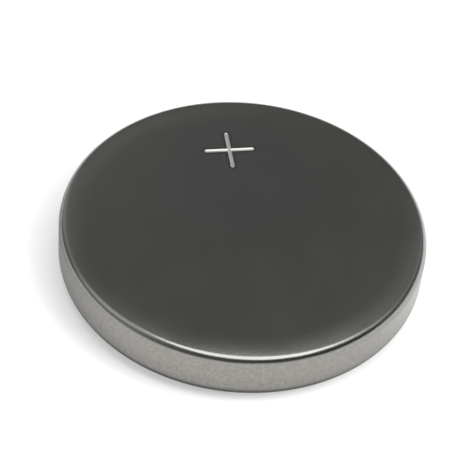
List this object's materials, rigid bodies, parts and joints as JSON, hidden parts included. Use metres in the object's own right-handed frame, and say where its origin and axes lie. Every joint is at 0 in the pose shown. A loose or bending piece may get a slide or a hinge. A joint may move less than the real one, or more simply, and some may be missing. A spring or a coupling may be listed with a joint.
{
  "type": "lithium coin cell",
  "caption": "Flat round lithium cell: a crimped steel can is the positive pole, and a stepped steel cap, insulated by a plastic gasket, is the negative pole.",
  "frame": {"origin": "centre of the negative cap's outer face, on which the cell lies", "axes": "+Z along the cell's axis from the negative cap to the positive face; +X and +Y lie in the negative face, and the plus sign on the positive face stands upright along +Y"},
  "size_m": [0.02, 0.02, 0.0032],
  "materials": {
    "can_steel": "nickel-plated stainless steel, satin, with fine speckle",
    "cap_steel": "nickel-plated stainless steel, matt satin",
    "gasket_plastic": "moulded polypropylene",
    "ring_steel": "plain rolled sheet",
    "pellet": "pressed powder, matt black",
    "felt": "non-woven felt",
    "lithium": "rolled foil, dull silver"
  },
  "bodies": {
    "root": {"positive_can": "can_steel", "gasket": "gasket_plastic", "negative_cap": "cap_steel", "collector_ring": "ring_steel", "cathode_pellet": "pellet", "separator": "felt", "lithium_disc": "lithium"}
  },
  "joints": []
}
